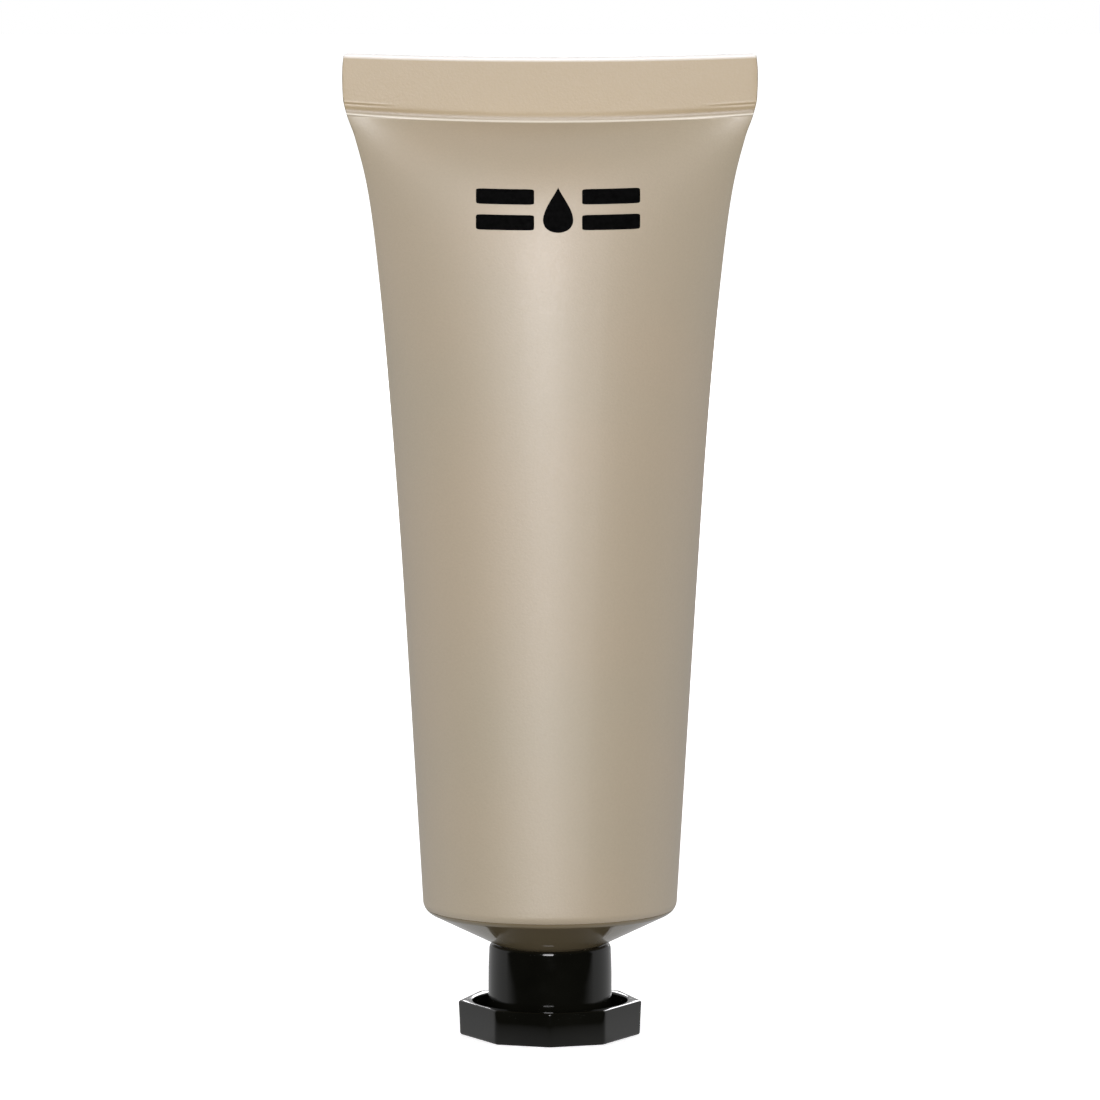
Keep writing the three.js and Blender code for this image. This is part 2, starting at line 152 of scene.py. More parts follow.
# %% [markdown]
# ## The shape of a pipe pressed flat
#
# Laminate hardly stretches, so the way round the sleeve stays the same while it goes from a circle to a flat
# line. The section is a mix of the two: across = (1 - f) sin a + f a, depth = (1 - f) cos a, both times a
# factor that keeps the girth. f is the flatness: 0 at the shoulder, 1 on the weld line. It grows slowly up
# the sides, and quickly in the last centimetre, where the filling stops holding the walls apart.

# %% Flatness, girth and the flattened section
GIRTH_STEPS = (np.arange(24) + 0.5) / 24 * np.pi / 2
JAW_SPREAD = 1.0
FLAT_HALF_WIDTH = INNER_RADIUS * np.pi / 2 + WALL


def sleeve_share(z):
    """How far up the sleeve a height is: 0 at the round end, 1 at the weld line and above."""
    return np.clip((z - EDGE_HEIGHT) / WELD_RUN, 0, 1)


def flatness(z):
    """f = 0.4 t + 0.2 t^5 + 0.4 t^28 at the share t of the way up."""
    t = sleeve_share(z)
    return 0.4 * t + 0.2 * t**5 + 0.4 * t**28


def girth_factor(flat):
    """1 over the mean length of the section's tangent, so that the girth is that of the circle."""
    flat = np.asarray(flat)[..., None]
    tangent = (1 - flat) ** 2 + flat**2 + 2 * flat * (1 - flat) * np.cos(GIRTH_STEPS)
    return 1 / np.sqrt(tangent).mean(axis=-1)


def smooth_step(x):
    """3x^2 - 2x^3 between 0 and 1."""
    x = np.clip(x, 0, 1)
    return x * x * (3 - 2 * x)


def bump(x, middle, width):
    """A bell of height 1 about a middle: e to the minus of the squared distance in widths."""
    return np.exp(-(((x - middle) / width) ** 2))


def jaw_stretch(z):
    """The hot jaws press the weld a good millimetre wider a side; it bulges a little and is cut narrower."""
    rise = smooth_step((z - WELD_HEIGHT + 3) / 5.5)
    bulge = 0.16 * bump(z, WELD_HEIGHT + 5.2, 3.2)
    corner = 0.1 * smooth_step((z - BAND_TOP + 2.2) / 2.2)
    corner = corner + 0.3 * smooth_step((z - BAND_TOP + 0.5) / 0.5) ** 2
    return 1 + (rise * JAW_SPREAD + bulge - corner) / FLAT_HALF_WIDTH


def corner_rise(z):
    """How much higher the side edges stand than the middle: 1 mm on the weld line, half of it at the cut."""
    band_share = np.clip((z - WELD_HEIGHT) / (BAND_TOP - WELD_HEIGHT), 0, 1)
    return (LINE_CORNER_RISE + (TOP_CORNER_RISE - LINE_CORNER_RISE) * band_share) * sleeve_share(z) ** 6


def flattened(turn, radius, z, relief=0.0):
    """Point of a pipe of that radius, at an angle from the middle of the front, once pressed flat.

    The inner face follows the mixed section. Off it, the point keeps its distance: across grows in
    proportion, and depth grows by the distance times (1 - share^m)^(1/m), which rounds the side edges.
    Relief is added to the depth alone, so that lines pressed into the band leave its side edges smooth.
    """
    turn, radius, z, relief = np.broadcast_arrays(turn, radius, z, relief)
    flat = flatness(z)
    angle = turn + 0.38 * flat * np.sin(2 * turn)
    side = np.arcsin(np.clip(np.sin(angle), -1, 1))
    size = INNER_RADIUS * girth_factor(flat)
    half = size * (1 - flat + flat * np.pi / 2)
    across = size * ((1 - flat) * np.sin(side) + flat * side)
    depth = size * (1 - flat) * np.cos(angle)
    offset = radius - INNER_RADIUS
    share = np.minimum(1, np.abs(across) / half)
    power = 2 + 10 * flat**4
    rim = np.where(share > 1 - 1e-12, 0, (1 - np.minimum(share, 1 - 1e-12) ** power) ** (1 / power))
    facing = np.where(np.cos(angle) < 0, -1.0, 1.0)
    x = across * (half + offset) / half * jaw_stretch(z)
    y = -(depth + facing * (offset + relief) * rim)
    return np.stack([x, y, z + corner_rise(z) * (x / FLAT_HALF_WIDTH) ** 2], axis=-1)


# %% [markdown]
# ## The laminate sleeve
#
# One closed surface: down the inside from the weld line to the lap over the shoulder, round the cut edge, up
# the outside, and over the band. Three small things make it read as a welded laminate tube. The jaws leave a
# groove and a sharp little ridge below the band. The sheet's two edges lap in a seam down the back. And the
# walls are never quite even, so a slow ripple a few hundredths of a millimetre deep runs over them.

# %% Profile of the sleeve
def edge_point(radius, degrees):
    """Point on the rounded bottom edge at an angle below the horizontal."""
    a = np.radians(degrees)
    centre = TUBE_RADIUS - EDGE_RADIUS
    return np.stack([centre + radius * np.cos(a), EDGE_HEIGHT - radius * np.sin(a)], axis=-1)


def column(radius, heights):
    """Pairs of one radius with each height."""
    return np.stack([np.full(len(heights), radius), heights], axis=-1)


LAP_ANGLE = 32
inner_heights = np.concatenate([np.linspace(WELD_HEIGHT, WELD_HEIGHT - 6, 20)[:-1],
                                np.linspace(WELD_HEIGHT - 6, EDGE_HEIGHT, 50)])
outer_heights = np.concatenate([np.linspace(EDGE_HEIGHT, WELD_HEIGHT - 14, 95)[:-1],
                                np.linspace(WELD_HEIGHT - 14, WELD_HEIGHT - 1.2, 50)[:-1],
                                np.linspace(WELD_HEIGHT - 1.2, WELD_HEIGHT + 2.6, 77)[:-1],
                                np.linspace(WELD_HEIGHT + 2.6, BAND_TOP - 0.5, 24)])
ROUNDED_TOP = 0.45
top_angles = np.linspace(0, np.pi / 2, 9)[1:]
cut_edge = np.stack([INNER_RADIUS + 0.04 + (WALL - 0.04) * np.cos(top_angles),
                     BAND_TOP - ROUNDED_TOP * (1 - np.sin(top_angles))], axis=-1)
sleeve_profile = np.concatenate([
    column(INNER_RADIUS, inner_heights),
    edge_point(EDGE_RADIUS - WALL, np.linspace(0, LAP_ANGLE, 8)[1:]),
    edge_point(EDGE_RADIUS - 0.04, LAP_ANGLE)[None],
    edge_point(EDGE_RADIUS, np.linspace(LAP_ANGLE - 1.5, 0, 10)[:-1]),
    column(TUBE_RADIUS, outer_heights),
    cut_edge,
    column(INNER_RADIUS, [BAND_TOP]),
])
print(f"sleeve profile of {len(sleeve_profile)} points")


# %% [markdown]
# ## Lines, waves and the seam of the sleeve
#
# The profile goes once round the pipe and is pressed flat. The lines of the jaws are depth alone, so the side
# edges stay smooth. The waves and the lap of the sheet are on the outside only.

# %% The sleeve's surface
SLEEVE_COLUMNS = 252
RIPPLE_DEPTH = 0.035
SEAM_HEIGHT = 0.07
SEAM_HALF_WIDTH = 1.1
RIDGE_HEIGHT = 0.15
sleeve_turns = np.arange(SLEEVE_COLUMNS) / SLEEVE_COLUMNS * 2 * np.pi


def weld_relief(across, z):
    """How far the pressed lines stand out: a sharp ridge on the weld line, a soft groove over it that is
    deeper towards the sides, and a short second step in each corner."""
    outer = smooth_step((np.abs(across) - 4) / 20)
    ridge = RIDGE_HEIGHT * bump(z, WELD_HEIGHT, 0.13)
    groove = -(0.05 + 0.09 * outer) * bump(z, WELD_HEIGHT + 0.62, 0.42)
    corner = smooth_step((np.abs(across) - 20) / 6)
    step = 0.05 * corner * (bump(z, WELD_HEIGHT + 1.75, 0.14) - 0.7 * bump(z, WELD_HEIGHT + 1.45, 0.16))
    return ridge + groove + step


def wall_ripple(turn, z):
    """Slow waves of the filled wall, fading out towards the stiff shoulder and the weld."""
    t = sleeve_share(z)
    waves = np.sin(3 * turn + z / 13) + 0.7 * np.sin(5 * turn - z / 9 + 1.3)
    waves = waves + 0.5 * np.sin(2 * turn + z / 21 + 4)
    return RIPPLE_DEPTH * waves * np.sin(np.pi * t)


def back_seam(turn, z):
    """The lap of the sheet: a strip 2.4 mm wide and 0.07 mm proud down the middle of the back."""
    distance = np.abs(np.abs(turn - np.pi) * TUBE_RADIUS)
    return SEAM_HEIGHT * (1 - smooth_step((distance - SEAM_HALF_WIDTH) / 0.25)) * (z > EDGE_HEIGHT - 1)


turn_grid, radius_grid = np.meshgrid(sleeve_turns, sleeve_profile[:, 0])
height_grid = np.broadcast_to(sleeve_profile[:, 1][:, None], turn_grid.shape)
outside = (radius_grid > TUBE_RADIUS - 0.01) & (height_grid > EDGE_HEIGHT)
plain = flattened(turn_grid, radius_grid, height_grid)
relief = weld_relief(plain[..., 0], height_grid) + back_seam(turn_grid, height_grid)
radius_grid = radius_grid + np.where(outside, wall_ripple(turn_grid, height_grid), 0)
relief = np.where(outside, relief, 0)
sleeve = shell_piece("sleeve_laminate", flattened(turn_grid, radius_grid, height_grid, relief))

# %% [markdown]
# ## Turned pieces with a thread
#
# Neck and cap are bodies of revolution. A thread is a ridge that climbs as it goes round: at each point the
# distance to the nearest turn of the helix decides how far the wall stands out. That is a change of radius,
# so threaded and plain stretches are the same grid.

# %% Thread and turning
THREAD_PITCH = 3.0
THREAD_DEPTH = 0.8
THREAD_CLEARANCE = 0.25
ROOT_WIDTH = 1.5
CREST_WIDTH = 0.7
NECK_LEAD = 0.3
NECK_THREAD_START = NECK_END + NECK_LEAD + ROOT_WIDTH / 2
CAP_THREAD_START = NECK_THREAD_START + THREAD_PITCH / 2
CAP_THREAD_END = STEM_TOP - 0.95 - ROOT_WIDTH / 2
THREAD_TURNS = (CAP_THREAD_END - CAP_THREAD_START) / THREAD_PITCH


def thread_ridge(turn, z, start):
    """0 on the wall to 1 on the crest of a right-hand ridge that starts at a height on the +X side.

    For each full turn k the helix passes at start + pitch (angle / 2 pi + k). The ridge falls from crest to
    root between half the crest width and half the root width, and fades over a tenth of a turn at its ends.
    """
    angle = np.mod(turn - np.pi / 2, 2 * np.pi)
    best = np.zeros(np.broadcast(turn, z).shape)
    for k in range(4):
        travel = angle / (2 * np.pi) + k
        away = np.abs(z - start - THREAD_PITCH * travel)
        height = np.clip((ROOT_WIDTH / 2 - away) / ((ROOT_WIDTH - CREST_WIDTH) / 2), 0, 1)
        fade = smooth_step(travel / 0.1) * smooth_step((THREAD_TURNS - travel) / 0.1)
        best = np.maximum(best, height * fade * (travel <= THREAD_TURNS))
    return best * best * (3 - 2 * best)


def turned(turns, radius, z):
    """Points at an angle from the front (-Y), at a radius and a height."""
    turn, radius, z = np.broadcast_arrays(turns, radius, z)
    return np.stack([radius * np.sin(turn), -radius * np.cos(turn), z], axis=-1)


def rounded_path(corners, radii, steps=6):
    """A polyline of (radius, height) corners with each corner cut by a circle-like curve of its own radius.

    Each corner becomes a quadratic curve between the two points that lie its radius away along the legs.
    """
    corners = np.asarray(corners, dtype=float)
    path = [corners[0]]
    neighbours = zip(corners[:-2], corners[1:-1], corners[2:], radii[1:-1])
    for before, corner, after, radius in neighbours:
        if radius <= 0:
            path.append(corner)
            continue
        back, ahead = before - corner, after - corner
        start = corner + back / np.linalg.norm(back) * min(radius, np.linalg.norm(back) * 0.49)
        end = corner + ahead / np.linalg.norm(ahead) * min(radius, np.linalg.norm(ahead) * 0.49)
        s = np.linspace(0, 1, steps)[:, None]
        path.extend((1 - s) ** 2 * start + 2 * s * (1 - s) * corner + s**2 * end)
    path.append(corners[-1])
    return np.array(path)


# %% [markdown]
# ## Shoulder and neck
#
# The shoulder is one glossy moulding in the sleeve's own colour. Outside it is a shallow cone that meets the
# sleeve's rounded edge; inside it stays one wall thick. Its neck carries the thread and ends in the mouth.

# %% Profile of the shoulder
SLOPE = math.tan(math.radians(26))
STEM_RADIUS = 8.5
SHOULDER_THICKNESS = 1.2
CONE_RISE = SHOULDER_THICKNESS / math.cos(math.radians(26))
NECK_RADIUS = 5.7
BORE_RADIUS = 4.1
MOUTH_RADIUS = 3.0
SKIRT_OUTER = INNER_RADIUS - 0.15
SKIRT_INNER = SKIRT_OUTER - 0.8


def cone_height(radius):
    """Height of the outside of the shoulder cone at a radius."""
    return STEM_TOP + 0.55 + (radius - STEM_RADIUS) * SLOPE


neck_heights = np.arange(NECK_END + 0.45, cone_height(NECK_RADIUS) - 0.55, 0.11)
neck_end = rounded_path([[MOUTH_RADIUS, NECK_END], [NECK_RADIUS, NECK_END], [NECK_RADIUS, NECK_END + 0.44]],
                        [0, 0.3, 0])
neck_foot = rounded_path([[NECK_RADIUS, cone_height(NECK_RADIUS) - 0.5],
                          [NECK_RADIUS, cone_height(NECK_RADIUS)],
                          [NECK_RADIUS + 1.5, cone_height(NECK_RADIUS + 1.5)]], [0, 0.45, 0])
cone_radii = np.linspace(NECK_RADIUS + 1.6, edge_point(EDGE_RADIUS, 64)[0] - 0.1, 14)
cone = np.stack([cone_radii, cone_height(cone_radii)], axis=-1)
seat = edge_point(EDGE_RADIUS - WALL - 0.15, np.array([33.5, 16, 0]))
inside = rounded_path([
    [SKIRT_OUTER, EDGE_HEIGHT + SKIRT_HEIGHT],
    [SKIRT_INNER, EDGE_HEIGHT + SKIRT_HEIGHT],
    [SKIRT_INNER, cone_height(SKIRT_INNER) + CONE_RISE],
    [BORE_RADIUS, cone_height(BORE_RADIUS) + CONE_RISE],
    [BORE_RADIUS, NECK_END + 1.2],
    [MOUTH_RADIUS, NECK_END + 1.2],
    [MOUTH_RADIUS, NECK_END + 0.05]], [0, 0.25, 0, 0.2, 0, 0.2, 0])
shoulder_profile = np.concatenate([
    neck_end, column(NECK_RADIUS, neck_heights), neck_foot, cone,
    edge_point(EDGE_RADIUS, np.linspace(64, 33.5, 12)), seat, inside])

# %% [markdown]
# ## Turning the shoulder
#
# The profile is turned about the axis, and the thread is added to the neck alone.

# %% The shoulder's surface
ROUND_TURNS = np.arange(192) / 192 * 2 * np.pi
turn_grid, radius_grid = np.meshgrid(ROUND_TURNS, shoulder_profile[:, 0])
height_grid = np.broadcast_to(shoulder_profile[:, 1][:, None], turn_grid.shape)
on_neck = (np.abs(radius_grid - NECK_RADIUS) < 0.01) & (height_grid < cone_height(NECK_RADIUS) - 0.3)
ridge = thread_ridge(turn_grid, height_grid, NECK_THREAD_START)
radius_grid = radius_grid + np.where(on_neck, THREAD_DEPTH * ridge, 0)
shoulder = shell_piece("shoulder_and_neck", turned(turn_grid, radius_grid, height_grid), closed_rows=True)

# %% [markdown]
# ## The screw cap
#
# The cap is one moulding: a round stem that holds the thread, a low eight-sided ring about its end, and a
# round pocket between the two. A single profile runs from the middle of the inside, over the stem's rim,
# down into the pocket, over the ring and back to the middle of the end. A second number, from 0 to 1, says
# how much of the eight-sided outline a point of the profile has. The columns stand close together at the
# eight corners, so the corners get a small round edge and the sides between stay flat.

# %% The eight-sided outline
RING_CORNERS = np.radians([0, 36.3, 86, 130, 180, 230, 274, 323.7])
RING_CORNER_RADIUS = 12.7
CORNER_ROUND = 0.028


def ring_turns():
    """Angles round the cap: eight for each rounded corner and twenty along each flat side."""
    nexts = np.append(RING_CORNERS[1:], 2 * np.pi)
    near = np.linspace(-CORNER_ROUND * 1.4, CORNER_ROUND * 1.4, 8)
    parts = [np.concatenate([corner + near, np.linspace(corner + 0.055, after - 0.055, 20)])
             for corner, after in zip(RING_CORNERS, nexts)]
    return np.mod(np.concatenate(parts), 2 * np.pi)


def ring_radius(turn, size):
    """Distance from the axis to the side of the outline at an angle.

    A side between two corners at angles a and b lies at size cos((b - a) / 2) from the axis, and the ray
    meets it at that over the cosine of the angle from the side's middle. A soft minimum of the two nearest
    sides rounds the corner between them.
    """
    corners = np.append(RING_CORNERS, 2 * np.pi)
    middles = (corners[:-1] + corners[1:]) / 2
    apothems = size * np.cos((corners[1:] - corners[:-1]) / 2)
    away = np.abs((turn[..., None] - middles + np.pi) % (2 * np.pi) - np.pi)
    reach = apothems / np.maximum(np.cos(away), 0.2)
    sharpness = 9.0
    return -np.log(np.exp(-sharpness * reach).sum(axis=-1)) / sharpness


# %% [markdown]
# ## The cap's profile
#
# The stem tapers a little so that it leaves its mould, and the ring does too. The end is sunk inside its
# rim, with a small gate mark in the middle where the plastic came in.

# %% Profile of the cap
CAP_BORE = NECK_RADIUS + THREAD_DEPTH + THREAD_CLEARANCE
POCKET_RADIUS = 10.7
CAP_FLOOR = 1.9
RING_HEIGHT = 4.75
RECESS = 0.35
RECESS_RADIUS = 9.6

bore_heights = np.arange(CAP_FLOOR + 0.35, STEM_TOP - 1.0, 0.11)
bore_floor = rounded_path([[0, CAP_FLOOR], [CAP_BORE, CAP_FLOOR], [CAP_BORE, CAP_FLOOR + 0.3]], [0, 0.15, 0])
stem = rounded_path([
    [CAP_BORE, STEM_TOP - 0.95],
    [CAP_BORE + 0.85, STEM_TOP],
    [STEM_RADIUS - 0.14, STEM_TOP],
    [STEM_RADIUS, STEM_TOP - 3.2],
    [STEM_RADIUS, CAP_FLOOR],
    [POCKET_RADIUS, CAP_FLOOR],
    [POCKET_RADIUS, RING_HEIGHT - 0.4]], [0, 0.12, 0.62, 1.5, 0.4, 0.4, 0], steps=9)
end_face = rounded_path([
    [RING_CORNER_RADIUS, 0.0],
    [RECESS_RADIUS, 0.0],
    [RECESS_RADIUS - 0.12, RECESS],
    [1.3, RECESS],
    [1.05, RECESS + 0.28],
    [0.35, RECESS + 0.28],
    [0.3, RECESS + 0.1],
    [0, RECESS + 0.06]], [0, 0.12, 0.1, 0.1, 0.1, 0.08, 0.05, 0])[1:]
round_part = np.concatenate([bore_floor, column(CAP_BORE, bore_heights), stem])
ring_levels = np.array([
    # radius if round, inset of the eight-sided outline, height, share of the outline
    [POCKET_RADIUS, 0.0, RING_HEIGHT - 0.22, 0],
    [POCKET_RADIUS + 0.05, 0.0, RING_HEIGHT - 0.07, 0],
    [POCKET_RADIUS + 0.2, 0.0, RING_HEIGHT, 0],
    [0.0, 0.32, RING_HEIGHT, 1],
    [0.0, 0.14, RING_HEIGHT - 0.04, 1],
    [0.0, 0.04, RING_HEIGHT - 0.14, 1],
    [0.0, 0.0, RING_HEIGHT - 0.3, 1],
    [0.0, 0.1, 2.5, 1],
    [0.0, 0.19, 0.35, 1],
    [0.0, 0.23, 0.18, 1],
    [0.0, 0.33, 0.05, 1],
    [0.0, 0.5, 0.0, 1],
])

# %% [markdown]
# ## The cap's surface
#
# Round rows and eight-sided rows share their columns, so one grid makes the whole moulding. The thread in the
# bore stands half a pitch from the one on the neck.

# %% The cap's surface
cap_turns = ring_turns()
ring_only = ring_radius(cap_turns, RING_CORNER_RADIUS)
ring_grid = (ring_levels[:, 3:4] * (ring_only[None] - ring_levels[:, 1:2])
             + (1 - ring_levels[:, 3:4]) * ring_levels[:, 0:1])
round_grid = np.broadcast_to(round_part[:, 0:1], (len(round_part), len(cap_turns)))
end_grid = np.broadcast_to(end_face[:, 0:1], (len(end_face), len(cap_turns)))
radius_grid = np.concatenate([round_grid, ring_grid, end_grid])
heights = np.concatenate([round_part[:, 1], ring_levels[:, 2], end_face[:, 1]])
height_grid = np.broadcast_to(heights[:, None], radius_grid.shape)
turn_grid = np.broadcast_to(cap_turns[None], radius_grid.shape)
in_bore = (np.abs(radius_grid - CAP_BORE) < 0.01) & (height_grid > CAP_FLOOR + 0.3)
in_bore &= height_grid < STEM_TOP - 0.96
ridge = thread_ridge(turn_grid, height_grid, CAP_THREAD_START)
radius_grid = radius_grid - np.where(in_bore, THREAD_DEPTH * ridge, 0)
cap = shell_piece("cap_moulding", turned(turn_grid, radius_grid, height_grid))

# %% [markdown]
# ## What the cap and the shoulder hide
#
# Under the cap lie a foam liner, dented by the neck, and a foil seal with its pull tab folded under. Behind
# the shoulder lies a thin cone that keeps the filling off the plastic, and then the filling itself. They show
# only when the cap is off or the tube is taken apart, but each is a real piece with its own finish.

# %% Liner
LINER_RADIUS = liner_high[0]
liner_radii = np.linspace(0.0, LINER_RADIUS - 0.15, 34)
dent = 0.03 * (smooth_step((liner_radii - 3.2) / 0.4) - smooth_step((liner_radii - 5.5) / 0.4))
liner_profile = np.concatenate([
    np.stack([liner_radii, liner_high[2] - dent], axis=-1),
    [[LINER_RADIUS - 0.03, liner_high[2] - 0.04], [LINER_RADIUS, liner_high[2] - 0.15]],
    [[LINER_RADIUS, liner_low[2] + 0.15], [LINER_RADIUS - 0.03, liner_low[2] + 0.04]],
    [[LINER_RADIUS - 0.15, liner_low[2]], [0, liner_low[2]]]])
small_turns = np.arange(96) / 96 * 2 * np.pi
liner = shell_piece("liner_foam", turned(small_turns[None], liner_profile[:, 0:1], liner_profile[:, 1:2]))

# %% [markdown]
# ## The foil and its tab
#
# A disc of foil closes the mouth. Its pull tab is folded under and is a second thin plate. Both are rings of
# an outline, from the middle out, round the edge and back.

# %% Foil seal with its tab
FOIL = 0.12
FOIL_RADIUS = foil_high[0]
TAB_HALF = FOIL_RADIUS * 0.46
TAB_FOLD = -math.sqrt(FOIL_RADIUS**2 - TAB_HALF**2) + 0.06


def disc_grid(outline, lower, upper, rings=14):
    """A thin closed plate: rings of the outline from its middle out, over the edge, and back underneath."""
    shares = np.concatenate([np.linspace(0, 1, rings), np.linspace(1, 0, rings)])
    z = np.concatenate([np.full(rings, upper), np.full(rings, lower)])
    flat = outline[None] * shares[:, None, None]
    return np.concatenate([flat, np.broadcast_to(z[:, None, None], flat.shape[:2] + (1,))], axis=-1)


circle = np.stack([np.sin(small_turns), -np.cos(small_turns)], axis=-1)
foil_disc = disc_grid(circle * FOIL_RADIUS, foil_high[2] - FOIL, foil_high[2])
foil = shell_piece("foil_seal", foil_disc)
tongue_length = 2 * FOIL_RADIUS * 0.65
tongue = np.abs(circle) ** 0.55 * np.sign(circle) * [TAB_HALF * 0.98, tongue_length / 2]
tab_grid = disc_grid(tongue, foil_low[2], foil_low[2] + FOIL)
tab_grid[..., 1] += TAB_FOLD + tongue_length / 2
toward_fold = smooth_step((TAB_FOLD + 0.9 - tab_grid[..., 1]) / 0.8)
tab_grid[..., 2] += toward_fold * (foil_high[2] - FOIL - foil_low[2] - 0.02)
foil_tab = shell_piece("foil_pull_tab", tab_grid)

# %% [markdown]
# ## The barrier insert
#
# The thin cone lies a hair behind the shoulder and reaches down into the neck with a short collar.

# %% Barrier insert
rise = CONE_RISE + 0.06
thickness = 0.35 / math.cos(math.radians(26))
insert_outer = SKIRT_INNER - 0.06
collar_outer = BORE_RADIUS - 0.06
collar_end = cone_height(BORE_RADIUS) + CONE_RISE - 2.0
insert_profile = rounded_path([
    [collar_outer - 0.35, collar_end + 0.02],
    [collar_outer - 0.2, collar_end],
    [collar_outer, collar_end],
    [collar_outer, cone_height(collar_outer) + rise],
    [insert_outer, cone_height(insert_outer) + rise],
    [insert_outer, cone_height(insert_outer) + rise + thickness],
    [collar_outer - 0.35, cone_height(collar_outer - 0.35) + rise + thickness],
    [collar_outer - 0.35, collar_end + 0.2]], [0, 0, 0.08, 0, 0.1, 0.1, 0.3, 0])
insert_grid = turned(small_turns[None], insert_profile[:, 0:1], insert_profile[:, 1:2])
insert = shell_piece("insert_cone", insert_grid, closed_rows=True)

# %% [markdown]
# ## The filling
#
# The cream fills neck, shoulder and sleeve with a small gap to the walls. Its sides follow the same flattened
# section as the sleeve, drawn in a little, and its top is a low dome with soft swirls.

# %% Filling
CREAM_SHARE = 0.97
cream_inner = SKIRT_INNER - 0.15
throat = collar_outer - 0.35 - 0.15
cone_over = CONE_RISE + 0.06 + thickness + 0.15
skirt_over = EDGE_HEIGHT + SKIRT_HEIGHT + 0.15
cream_top = EDGE_HEIGHT + WELD_RUN * 0.93 * (1 - (1 / 12) ** 2)
neck_cream = rounded_path([
    [0, NECK_END + 0.15],
    [MOUTH_RADIUS - 0.15, NECK_END + 0.15],
    [MOUTH_RADIUS - 0.15, NECK_END + 1.35],
    [BORE_RADIUS - 0.15, NECK_END + 1.35],
    [BORE_RADIUS - 0.15, collar_end - 0.15],
    [throat, collar_end - 0.15],
    [throat, cone_height(throat) + cone_over + 0.15],
    [cream_inner, cone_height(cream_inner) + cone_over],
    [cream_inner, skirt_over]], [0, 0.2, 0.1, 0.3, 0.3, 0.1, 0.4, 0.3, 0])
side_cream = column(INNER_RADIUS * CREAM_SHARE, np.linspace(skirt_over + 0.6, cream_top, 60))
dome_shares = np.cos(np.linspace(0, np.pi / 2, 16))[1:]
dome = np.stack([INNER_RADIUS * CREAM_SHARE * dome_shares,
                 cream_top + 0.9 * np.sin(np.linspace(0, np.pi / 2, 16))[1:]], axis=-1)
cream_profile = np.concatenate([neck_cream, side_cream, dome])
radii = cream_profile[:, 0:1]
cream_wall = flattened(sleeve_turns[::2][None], np.full_like(radii, INNER_RADIUS), cream_profile[:, 1:2])
cream_share = radii / INNER_RADIUS
cream_heights = cream_profile[:, 1:2] + (cream_wall[..., 2] - cream_profile[:, 1:2]) * cream_share**2
cream_grid = np.stack([cream_wall[..., 0] * cream_share, cream_wall[..., 1] * cream_share, cream_heights],
                      axis=-1)
swirl = 0.12 * np.sin(2.2 * cream_grid[..., 0]) * np.cos(1.7 * cream_grid[..., 1])
cream_grid[..., 2] += np.where(cream_grid[..., 2] > cream_top, swirl, 0)
cream = shell_piece("cream_filling", cream_grid)

# %% [markdown]
# ## The printed mark
#
# The front carries a bold black print. Here it is a plain mark of the same weight: a drop between two pairs
# of bars. Ink lies on the wall as a film, so each shape is a thin closed patch that follows the sleeve: its
# outline is filled by rings about its middle, and every point is laid on the curved front.

# %% Ink laid on the front
INK_HEIGHT = 0.02
INK_DEPTH = 0.03


def front_turn(x, z):
    """The angle whose point on the front lies at x, found by four Newton steps on the section's formula."""
    flat = flatness(z)
    size = INNER_RADIUS * girth_factor(flat)
    half = size * (1 - flat + flat * np.pi / 2)
    target = x / jaw_stretch(z) / ((half + WALL) / half)
    angle = target / size
    for _ in range(4):
        value = size * ((1 - flat) * np.sin(angle) + flat * angle)
        angle = angle - (value - target) / (size * ((1 - flat) * np.cos(angle) + flat))
    return angle


def on_front(x, z, lift):
    """Points of the sleeve's front at x and z, moved out by a lift."""
    angle = front_turn(x, z)
    flat = flatness(z)
    turn = angle.copy()
    for _ in range(6):
        turn = angle - 0.38 * flat * np.sin(2 * turn)
    return flattened(turn, TUBE_RADIUS + wall_ripple(turn, z), z, lift)


def ink_patch(outline, rings=10):
    """A closed film over an outline of (x, z) points: a raised face, then a sunk one."""
    middle = outline.mean(axis=0)
    shares = np.concatenate([np.linspace(0, 1, rings), np.linspace(1, 0, rings)])[:, None, None]
    flat = middle + (outline - middle)[None] * shares
    lift = np.where(np.arange(2 * rings) < rings, INK_HEIGHT, -INK_DEPTH)[:, None]
    return on_front(flat[..., 0], flat[..., 1], np.broadcast_to(lift, flat.shape[:2]))


def bar_outline(x, z, width, height, steps=96):
    """A bar with slightly rounded corners: |x / a|^n + |z / b|^n = 1 with n = 14."""
    a = np.arange(steps) / steps * 2 * np.pi
    c, s = np.cos(a), np.sin(a)
    reach = (np.abs(c) ** 14 + np.abs(s) ** 14) ** (-1 / 14)
    return np.stack([x + width / 2 * reach * c, z + height / 2 * reach * s], axis=-1)


def drop_outline(x, z, width, height, steps=96):
    """A drop, point up: across = sin a sin^1.6(a / 2), up = cos a."""
    a = np.arange(steps) / steps * 2 * np.pi
    across = np.sin(a) * np.sin(a / 2) ** 1.6
    return np.stack([x + width / 2 * across / 0.775, z + height / 2 * np.cos(a)], axis=-1)


MARK_X, MARK_Z = 1.1, 114.5
MARK_HEIGHT = 6.1
outlines = {"print_drop": drop_outline(MARK_X, MARK_Z, 4.6, MARK_HEIGHT)}
for side, sign in (("left", -1), ("right", 1)):
    for level, lift in (("upper", 1), ("lower", -1)):
        bar = bar_outline(MARK_X + sign * 7.2, MARK_Z + lift * 1.72, 7.9, 2.05)
        outlines[f"print_bar_{side}_{level}"] = bar
prints = [shell_piece(name, ink_patch(outline)) for name, outline in outlines.items()]

